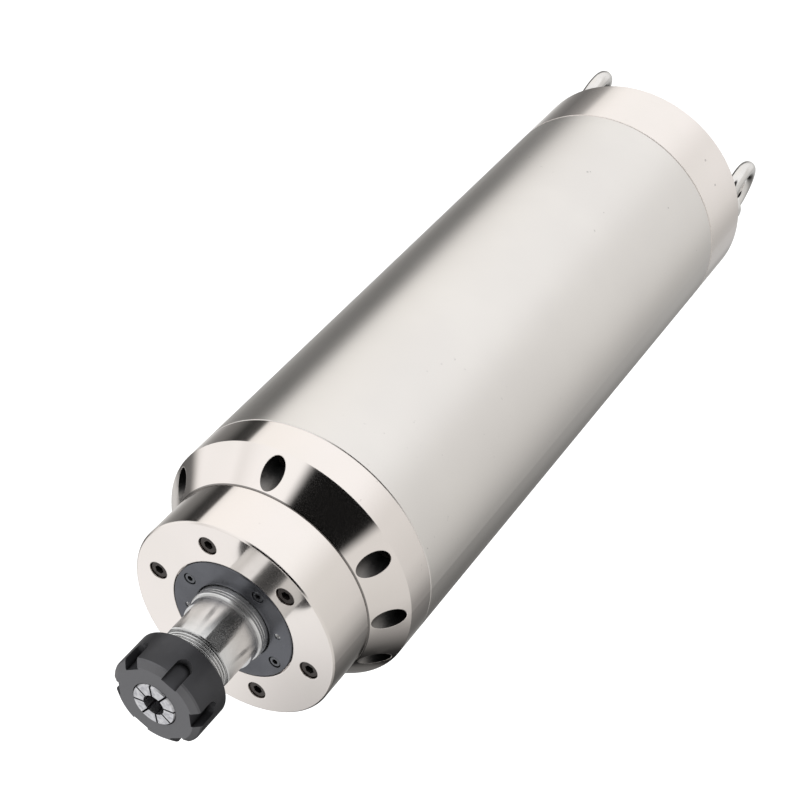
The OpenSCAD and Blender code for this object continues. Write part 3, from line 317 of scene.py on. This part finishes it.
def dark_finish(name, color, worn, roughness, specular=0.5, bump=0.12, wear=0.6, edge=0.35 * MM,
                metallic=0.0, hollow_shade_reach=0.0, face=None, soft_edge=0.0):
    """Black oxide or satin coating with a fine grain, rubbed bright along its edges.

    Face is a lighter colour painted on what faces the front, as painted light. Deep in hollows, painted shade
    turns the colour near black."""
    def build(shader):
        spot = place(shader)
        at = spot[0]
        lines = turned_grain(shader, spot, 1500.0, 60.0)
        fine = shader.noise(at, 900.0, 2.0, 0.6)
        patches = shader.noise(at, 60.0, 3.0, 0.6)
        tone = shader.mix(shader.ramp(patches, 0.3, 0.7), color, tuple(c * 1.25 for c in color))
        rub = shader.math("MULTIPLY", edge_mask(shader, edge), shader.ramp(patches, 0.25, 0.65))
        tone = shader.cover(rub, wear, tone, worn)
        # Painted light: what faces the front gets the lighter face colour.
        if face:
            ahead = shader.math("MULTIPLY", shader.split(shader.coordinates("Normal"))["Y"], -1)
            tone = shader.mix(shader.ramp(ahead, 0.25, 0.7), tone, face)
        # Painted shade: deep in slots and sockets the colour goes near black.
        if hollow_shade_reach:
            tone = shader.mix(hollow_painted_shade_mask(shader, hollow_shade_reach), tone, grey(DARK_HOLLOW_PAINTED_SHADE_TONE))
        return shader.node("ShaderNodeBsdfPrincipled", {
            "Base Color": tone, "Metallic": metallic, "Specular IOR Level": specular,
            "Roughness": shader.vary(fine, 0.12, roughness),
            "Normal": shader.normal(shader.math("ADD", fine, lines), bump, 0.03 * MM, soft_edge)}).outputs[0]
    return material(name, build)


def moulded(name, color, roughness):
    """Plastic, rubber or varnish with a fine moulded grain."""
    def build(shader):
        at = shader.coordinates("Object")
        fine = shader.noise(at, 700.0, 3.0, 0.6)
        patches = shader.ramp(shader.noise(at, 90.0), 0.3, 0.7)
        return shader.node("ShaderNodeBsdfPrincipled", {
            "Base Color": shader.mix(patches, color, tuple(c * 0.75 for c in color)),
            "Roughness": shader.vary(fine, 0.15, roughness),
            "Normal": shader.normal(fine, 0.15, 0.05 * MM)}).outputs[0]
    return material(name, build)


def stacked(name, light, dark, roughness, pitch=0.5 * MM):
    """Thin sheets stacked along the shaft."""
    def build(shader):
        station = shader.split(shader.coordinates("Object"))["Y"]
        sheet = shader.math("FRACT", shader.math("DIVIDE", station, pitch))
        off = shader.math("ABSOLUTE", shader.math("SUBTRACT", sheet, 0.5))
        gap = shader.ramp(off, 0.36, 0.48)
        return shader.node("ShaderNodeBsdfPrincipled", {
            "Base Color": shader.mix(gap, light, dark), "Metallic": 1.0, "Roughness": roughness,
            "Normal": shader.normal(shader.math("SUBTRACT", 1.0, gap), 0.4, 0.05 * MM)}).outputs[0]
    return material(name, build)


def windings(name, light, dark):
    """Varnished copper wire, laid side by side."""
    def build(shader):
        _, x, _, z, radius = place(shader)
        wires = shader.node("ShaderNodeTexWave", {"Vector": shader.vector(x, radius, z), "Scale": 900.0,
                                                  "Distortion": 1.5, "Detail": 2.0},
                            bands_direction="Y").outputs["Fac"]
        return shader.node("ShaderNodeBsdfPrincipled", {
            "Base Color": shader.mix(wires, dark, light), "Metallic": 0.6, "Roughness": 0.35,
            "Coat Weight": 0.5, "Normal": shader.normal(wires, 0.6, 0.2 * MM)}).outputs[0]
    return material(name, build)


def on_body(angle, behind, radius):
    """A small mark on the body: its place and its radius. Behind and radius are in millimetres."""
    turn = math.radians(angle)
    return BODY_R * math.cos(turn), FLANGE_FACE + behind * MM, BODY_R * math.sin(turn), radius * MM


TUBE_SPOTS = [on_body(80, 301.5, 0.9), on_body(79, 302.6, 0.6), on_body(40.5, 322.5, 0.7)]
CAP_SPOTS = [on_body(42.5, 371.5, 1.2), on_body(30, 368.5, 1.2)]
HOUSING_SEAM = (CONE_FRONT, 0.35 * MM, 0.7, 0.0)
CAP_SEAM = (CAP_FRONT, 0.9 * MM, 0.0, 0.5)
HOUSING_HOLES = (CONE_FRONT + 0.4 * MM, CONE_FRONT + 30 * MM, BODY_R - 0.4 * MM)

NICKEL_TONES = linear(0.985, 0.957, 0.940), linear(0.975, 0.950, 0.930)
NICKEL_LOOK = {"roughness": 0.10, "grain": (3000.0, 24.0), "spread": 0.03, "cloud_roughness": 0.02,
               "marks": 0.25, "brushed": 0.7}
NICKEL = metal("nickel_plate", *NICKEL_TONES, soft_edge=0.6 * MM, **NICKEL_LOOK)
# The housing: painted shade in its holes and on the walls of its holes.
HOUSING_NICKEL = metal("housing_nickel", *NICKEL_TONES, soft_edge=0.4 * MM, hollow_shade_reach=14 * MM,
                       seams=[HOUSING_SEAM], shaded_drilled_walls=HOUSING_HOLES, **NICKEL_LOOK)
CAP_NICKEL = metal("cap_nickel", *NICKEL_TONES, soft_edge=0.4 * MM, spots=CAP_SPOTS, seams=[CAP_SEAM],
                   **NICKEL_LOOK)
TUBE = metal("satin_tube", linear(0.95, 0.935, 0.918), linear(0.935, 0.92, 0.905), 0.31,
             grain=(5000.0, 40.0), grain_bump=0.12, spread=0.10, clouds=14.0, marks=0.4, brushed=0.4,
             spots=TUBE_SPOTS)
GROUND = metal("ground_shaft", grey(0.93), grey(0.88), 0.19, grain=(2400.0, 20.0), grain_bump=0.1,
               spread=0.05, cloud_roughness=0.02, clouds=90.0, brushed=0.9, coarse=(COLLAR_FRONT, 0.25))
COLLET = metal("collet_steel", linear(0.88, 0.88, 0.89), linear(0.74, 0.74, 0.76), 0.36,
               grain=(1800.0, 220.0), grain_bump=0.5, spread=0.2, clouds=700.0, cloud_roughness=0.12)
CHROME = metal("bright_plating", linear(0.95, 0.94, 0.93), linear(0.92, 0.91, 0.90), 0.14,
               grain=(900.0, 120.0), grain_bump=0.08, spread=0.04, clouds=120.0)
SET_SCREW = metal("bright_screw", grey(0.97), grey(0.90), 0.3, grain=(3000.0, 200.0), clouds=600.0,
                  soft_edge=0.3 * MM)
COVER = dark_finish("satin_cover", linear(0.37, 0.375, 0.395), linear(0.55, 0.56, 0.58), 0.24,
                    specular=0.6, bump=0.05, wear=0.35, metallic=0.9, soft_edge=0.4 * MM)
# The nut: painted shade in its slots, and a painted lighter front face.
NUT = dark_finish("oxide_nut", linear(0.25, 0.25, 0.26), linear(0.40, 0.40, 0.41), 0.39, specular=0.45,
                  bump=0.1, wear=0.5, metallic=0.7, hollow_shade_reach=3 * MM, face=linear(0.42, 0.42, 0.43))
# These screws: painted shade in their sockets.
SCREW = dark_finish("dark_screw", linear(0.26, 0.24, 0.23), linear(0.62, 0.60, 0.58), 0.28, specular=0.7,
                    wear=0.5, edge=0.2 * MM, metallic=0.8, hollow_shade_reach=2.2 * MM)
COVER_SCREW = dark_finish("cover_screw", linear(0.38, 0.385, 0.40), linear(0.62, 0.62, 0.63), 0.25,
                          specular=0.7, wear=0.4, edge=0.12 * MM, metallic=0.9, hollow_shade_reach=1.5 * MM)
ALUMINIUM = metal("machined_aluminium", linear(0.86, 0.87, 0.88), linear(0.80, 0.81, 0.82), 0.35)
STEEL = metal("machined_steel", linear(0.74, 0.74, 0.75), linear(0.66, 0.66, 0.67), 0.32)
BEARING = metal("lapped_steel", linear(0.88, 0.88, 0.89), linear(0.84, 0.84, 0.85), 0.12)
SPRING = metal("spring_steel", linear(0.55, 0.54, 0.55), linear(0.45, 0.44, 0.46), 0.3)
BRASS = metal("turned_brass", linear(0.87, 0.76, 0.50), linear(0.82, 0.69, 0.42), 0.24, marks=0.3)
CONTACT = metal("gold_contact", linear(0.94, 0.83, 0.55), linear(0.90, 0.78, 0.48), 0.16)
CONNECTOR = metal("satin_connector", linear(0.82, 0.83, 0.84), linear(0.76, 0.77, 0.78), 0.34, marks=0.2)
RUBBER = moulded("seal_rubber", grey(0.10), 0.6)
BLACK_PLASTIC = moulded("connector_plastic", linear(0.14, 0.14, 0.15), 0.45)
RESIN = moulded("cage_resin", linear(0.62, 0.44, 0.24), 0.4)
SLEEVE = moulded("lead_sleeve", linear(0.62, 0.12, 0.10), 0.45)
SHEETS = stacked("steel_sheets", linear(0.55, 0.55, 0.57), linear(0.25, 0.25, 0.27), 0.4)
COPPER = windings("wound_copper", linear(0.80, 0.45, 0.28), linear(0.35, 0.15, 0.08))
CAST_BARS = metal("cast_bars", linear(0.80, 0.80, 0.81), linear(0.72, 0.72, 0.73), 0.4)

FINISH = {
    "nose_flange": NICKEL, "front_housing": HOUSING_NICKEL, "rear_cap": CAP_NICKEL, "body_tube": TUBE,
    "shaft": GROUND, "collet": COLLET, "collet_nut": NUT, "labyrinth_cover": COVER, "eye_bolts": CHROME,
    "cover_screws": COVER_SCREW, "cover_set_screws": SET_SCREW, "water_jacket": ALUMINIUM,
    "rear_bearing_cover": ALUMINIUM, "slinger_ring": ALUMINIUM, "rear_housing": STEEL,
    "jacket_o_rings": RUBBER, "nozzle_seals": RUBBER, "stator_core": SHEETS, "rotor_core": SHEETS,
    "stator_windings": COPPER, "rotor_cage": CAST_BARS, "preload_springs": SPRING,
    "coolant_nozzles": BRASS, "connector_shell": CONNECTOR, "connector_insert": BLACK_PLASTIC,
    "connector_pins": CONTACT, "power_leads": SLEEVE,
}
BY_PART_OF_NAME = {"_balls_": BEARING, "_cage_": RESIN}
BY_ENDING = {"_screws": SCREW, "_rings": BEARING, "_spacer": STEEL, "_lock_nut": STEEL}


def finish_of(node):
    """The node's own finish, or the one for its kind. An unknown node stops the script."""
    if node in FINISH:
        return FINISH[node]
    for part, finish in BY_PART_OF_NAME.items():
        if part in node:
            return finish
    return next(finish for ending, finish in BY_ENDING.items() if node.endswith(ending))


def dress_nodes():
    for name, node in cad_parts.items():
        node.data.materials.clear()
        node.data.materials.append(finish_of(name))
        for face in node.data.polygons:
            face.material_index = 0


def mesh_object(name, points, faces, finish, smooth=True):
    mesh = bpy.data.meshes.new(name)
    mesh.from_pydata(points, [], faces)
    mesh.polygons.foreach_set("use_smooth", [smooth] * len(mesh.polygons))
    mesh.update()
    mesh.materials.append(finish)
    made = bpy.data.objects.new(name, mesh)
    bpy.context.scene.collection.objects.link(made)
    return made


def nose_thread():
    """The nut's thread on the shaft, as one ridge wound round it."""
    turns = (THREAD_END - THREAD_START) / THREAD_PITCH - 1
    half = THREAD_PITCH / 2
    profile = [(-THREAD_ROOT_SHARE * half, THREAD_ROOT_R), (-THREAD_CREST_SHARE * half, THREAD_CREST_R),
               (THREAD_CREST_SHARE * half, THREAD_CREST_R), (THREAD_ROOT_SHARE * half, THREAD_ROOT_R)]
    sunk_r = THREAD_ROOT_R - THREAD_SUNK
    points, faces = [], []
    steps = int(turns * THREAD_SIDES)
    for i in range(steps + 1):
        angle = 2 * math.pi * i / THREAD_SIDES
        middle = THREAD_START + half + THREAD_PITCH * i / THREAD_SIDES
        fade = min(1.0, i / THREAD_FADE_SIDES, (steps - i) / THREAD_FADE_SIDES)
        for offset, radius in profile:
            r = sunk_r + (radius - sunk_r) * fade
            points.append((r * math.cos(angle), middle + offset, -r * math.sin(angle)))
    sides = len(profile)
    for i in range(steps):
        for k in range(sides):
            a, b = i * sides + k, i * sides + (k + 1) % sides
            faces.append((a, b, b + sides, a + sides))
    faces += [tuple(range(sides))[::-1], tuple(steps * sides + k for k in range(sides))]
    ridge = mesh_object("nose_thread", points, faces, GROUND)
    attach(ridge, "rotor")


def aim(piece, at, towards):
    """Sets an object at a point, looking along a direction, with +Z up."""
    forward = Vector(towards).normalized()
    right = forward.cross(Vector((0, 0, 1))).normalized()
    up = right.cross(forward)
    turn = Matrix((right, up, -forward)).transposed()
    piece.matrix_world = Matrix.Translation(at) @ turn.to_4x4()


def make_camera():
    data = bpy.data.cameras.new("camera")
    data.lens = CAMERA_LENS
    data.sensor_width = CAMERA_SENSOR
    data.clip_start, data.clip_end = CAMERA_CLIP
    data.dof.use_dof = False
    camera = bpy.data.objects.new("camera", data)
    bpy.context.scene.collection.objects.link(camera)
    aim(camera, CAMERA_AT, CAMERA_LOOKS)
    bpy.context.scene.camera = camera


def make_lamp(name, azimuth, elevation, distance, size, power):
    """A soft round lamp that no metal mirrors."""
    data = bpy.data.lights.new(name, "AREA")
    data.shape = "DISK"
    data.size = size
    data.energy = power
    lamp = bpy.data.objects.new(name, data)
    bpy.context.scene.collection.objects.link(lamp)
    at = direction(azimuth, elevation) * distance
    aim(lamp, at, -at)
    lamp.visible_glossy = False
    lamp.visible_camera = False


def make_floor():
    """A white floor that keeps the object's shadow. No metal mirrors it."""
    def build(shader):
        camera_ray = shader.node("ShaderNodeLightPath").outputs["Is Camera Ray"]
        matt = shader.node("ShaderNodeBsdfDiffuse", {"Color": grey(FLOOR_TONE)})
        glow = shader.node("ShaderNodeEmission", {
            "Color": (1, 1, 1), "Strength": shader.math("MULTIPLY", camera_ray, FLOOR_GLOW)})
        both = shader.node("ShaderNodeAddShader")
        shader.put(both.inputs[0], matt.outputs[0])
        shader.put(both.inputs[1], glow.outputs[0])
        return both.outputs[0]
    corners = [(x * FLOOR_HALF, y * FLOOR_HALF, FLOOR_HEIGHT) for x, y in ((-1, -1), (1, -1), (1, 1), (-1, 1))]
    floor = mesh_object("floor", corners, [(0, 1, 2, 3)], material("floor_white", build), smooth=False)
    floor.visible_glossy = False


def make_flag():
    """A dark card level with the flange's face, which only the shaft's nose mirrors."""
    def build(shader):
        behind = shader.node("ShaderNodeNewGeometry").outputs["Backfacing"]
        card = shader.node("ShaderNodeMixShader", {"Fac": behind})
        dark = shader.node("ShaderNodeEmission", {"Color": grey(FLAG_TONE)})
        clear = shader.node("ShaderNodeBsdfTransparent")
        shader.put(card.inputs[1], dark.outputs[0])
        shader.put(card.inputs[2], clear.outputs[0])
        return card.outputs[0]
    start, end, inner, outer = FLAG
    points, faces = [], []
    for angle in range(start, end + 1, FLAG_STEP):
        turn = math.radians(angle)
        points += [(r * math.cos(turn), FLAG_STATION, r * math.sin(turn)) for r in (inner, outer)]
    for i in range(0, len(points) - 2, 2):
        faces.append((i, i + 1, i + 3, i + 2))
    flag = mesh_object("flag", points, faces, material("flag_dark", build), smooth=False)
    flag.visible_camera = False
    flag.visible_diffuse = False
    flag.visible_shadow = False
    flag.visible_transmission = False


# The studio that polished metal mirrors, by direction alone. On the right, the table's brightness against the
# angle from the object's shadow on it, and then the sky: from which elevation, up to which, and how bright
SHADOW_DIRECTION = (160, -74)
TABLE = [(0, 0.10), (12, 0.18), (18, 0.32), (26, 0.46), (34, 0.57), (45, 0.72), (60, 0.82), (90, 0.86)]
SKY = (16, 46, 0.99)
# On the left, round LEFT_AZIMUTH, the room's brightness against elevation, nearer the front and further back
LEFT_AZIMUTH, LEFT_REACH, LEFT_FADE = -135, 20, 41
LEFT_SIDE = [(-90, 0.28), (-62, 0.42), (-52, 0.52), (-44, 0.76), (-36, 0.80), (-30, 0.76), (-24, 0.64),
             (-14, 0.50), (-4, 0.41), (5.5, 0.20), (16.6, 0.24), (17.8, 0.92), (24, 0.98), (40, 0.99)]
FAR_LEFT = [(-90, 0.28), (-62, 0.42), (-52, 0.50), (-43, 0.74), (-36, 0.86), (-26, 0.84), (-18, 0.64),
            (-11, 0.51), (-3, 0.44), (5, 0.52), (10.5, 0.60), (13, 0.70), (15.5, 0.90), (24, 0.98),
            (40, 0.99)]
FAR_LEFT_AZIMUTHS = (-129, -143)
# The bright table in front, and the bright and dark cards: azimuth, elevation, inner and outer reach, then
# brightness and the share of it that shows
FRONT_TABLE = (-31, -42, 22, 50, 0.95, 1.0)
CARDS = [(25, 37.5, 24, 33.5, 0.06, 1.0), (-78, 10, 14, 26, 0.99, 0.8), (-101, -21, 7, 19, 0.26, 0.85),
         (-34, -50, 1, 5.5, 0.70, 1.0), (160, 4, 8, 34, 0.96, 0.75), (-175, 34, 12, 36, 0.99, 0.8),
         (170, -34, 4, 16, 0.85, 0.5)]
# Each tone of the studio is a little warm: the shares of green and blue in it
WARMTH = (0.995, 0.985)
# The world's strength for what light the object gets from it
DIFFUSE_SKY = 0.72


def make_world():
    world = bpy.data.worlds.new("studio")
    bpy.context.scene.world = world
    world.use_nodes = True
    shader = Shader(world.node_tree)
    ray = shader.coordinates("Generated")
    x, y, z = shader.split(ray)

    def degrees(radians):
        return shader.math("MULTIPLY", radians, 180 / math.pi)

    def angle_from(azimuth, elevation):
        dot = shader.vector_math("DOT_PRODUCT", ray, direction(azimuth, elevation))
        return degrees(shader.math("ARCCOSINE", dot))

    def profile(angle, low, high, steps):
        made = shader.node("ShaderNodeValToRGB", {"Fac": shader.ramp(angle, low, high, smooth=False)})
        stops = made.color_ramp.elements
        while len(stops) < len(steps):
            stops.new(0.5)
        green, blue = WARMTH
        for stop, (at, value) in zip(stops, steps):
            stop.position = (at - low) / (high - low)
            stop.color = (*linear(value, value * green, value * blue), 1)
        return made.outputs[0]

    elevation = degrees(shader.math("ARCSINE", z))
    azimuth = degrees(shader.math("ARCTAN2", x, shader.math("MULTIPLY", y, -1)))
    aside = shader.math("ABSOLUTE", shader.math("SUBTRACT", azimuth, LEFT_AZIMUTH))
    aside = shader.math("MINIMUM", aside, shader.math("SUBTRACT", 360, aside))
    left = shader.ramp(aside, LEFT_REACH, LEFT_FADE, 1.0, 0.0)
    table = profile(angle_from(*SHADOW_DIRECTION), 0, 90, TABLE)
    sky_low, sky_high, sky_tone = SKY
    right_side = shader.mix(shader.ramp(elevation, sky_low, sky_high), table, grey(sky_tone))
    left_side = shader.mix(shader.ramp(azimuth, *FAR_LEFT_AZIMUTHS), profile(elevation, -90, 90, LEFT_SIDE),
                           profile(elevation, -90, 90, FAR_LEFT))
    studio = shader.mix(left, right_side, left_side)
    for card_azimuth, card_elevation, inner, outer, value, share in (FRONT_TABLE, *CARDS):
        card = shader.ramp(angle_from(card_azimuth, card_elevation), inner, outer, share, 0.0)
        studio = shader.mix(card, studio, grey(value))

    path = shader.node("ShaderNodeLightPath").outputs
    seen = shader.math("MAXIMUM", path["Is Camera Ray"], path["Is Transmission Ray"])
    lit_or_mirrored = shader.mix(path["Is Glossy Ray"], grey(1.0), studio)
    color = shader.mix(seen, lit_or_mirrored, grey(1.0))
    full = shader.math("MAXIMUM", seen, path["Is Glossy Ray"])
    strength = shader.ramp(full, 0.0, 1.0, DIFFUSE_SKY, 1.0, smooth=False)
    back = shader.node("ShaderNodeBackground", {"Color": color, "Strength": strength})
    output = shader.node("ShaderNodeOutputWorld")
    shader.put(output.inputs["Surface"], back.outputs[0])


dress_nodes()
nose_thread()
make_camera()
make_lamp("key_lamp", *KEY_LAMP)
make_lamp("fill_lamp", *FILL_LAMP)
make_floor()
make_flag()
make_world()
bpy.context.scene.view_settings.view_transform = "Standard"
